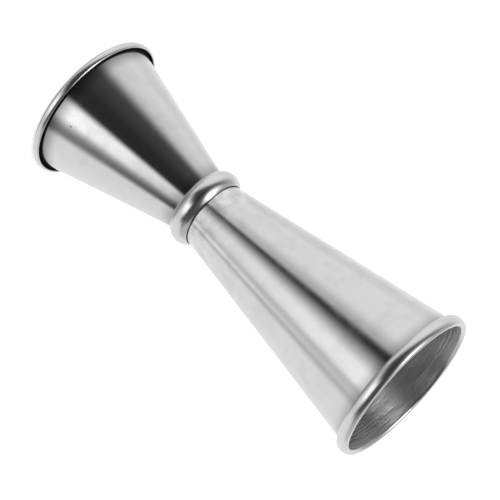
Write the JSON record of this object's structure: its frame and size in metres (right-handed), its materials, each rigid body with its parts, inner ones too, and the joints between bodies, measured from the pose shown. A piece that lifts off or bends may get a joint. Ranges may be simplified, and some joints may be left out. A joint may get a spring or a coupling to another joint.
{
  "type": "bar jigger",
  "caption": "Double-ended steel bar jigger: a short and a tall cone cup joined floor to floor under a domed waist ring, with rolled rims.",
  "frame": {"origin": "centre of the small rim's crest, on the surface that the jigger stands on", "axes": "+Z is the common axis of the cups, up from the small mouth to the large mouth; X and Y are any two directions across it"},
  "size_m": [0.0456, 0.0456, 0.1182],
  "materials": {
    "satin_steel_small": "stainless steel, fine satin outside, circular brushing inside, polished rim",
    "satin_steel_large": "stainless steel, fine satin outside, circular brushing inside, polished rim",
    "polished_steel": "stainless steel, mirror polished",
    "weld_metal": "fused stainless steel of a spot weld, hidden",
    "solder": "dull tin-silver solder, hidden"
  },
  "bodies": {
    "root": {"small_cup": "satin_steel_small", "large_cup": "satin_steel_large", "waist_ring": "polished_steel", "floor_weld": "weld_metal", "ring_solder": "solder"}
  },
  "joints": []
}
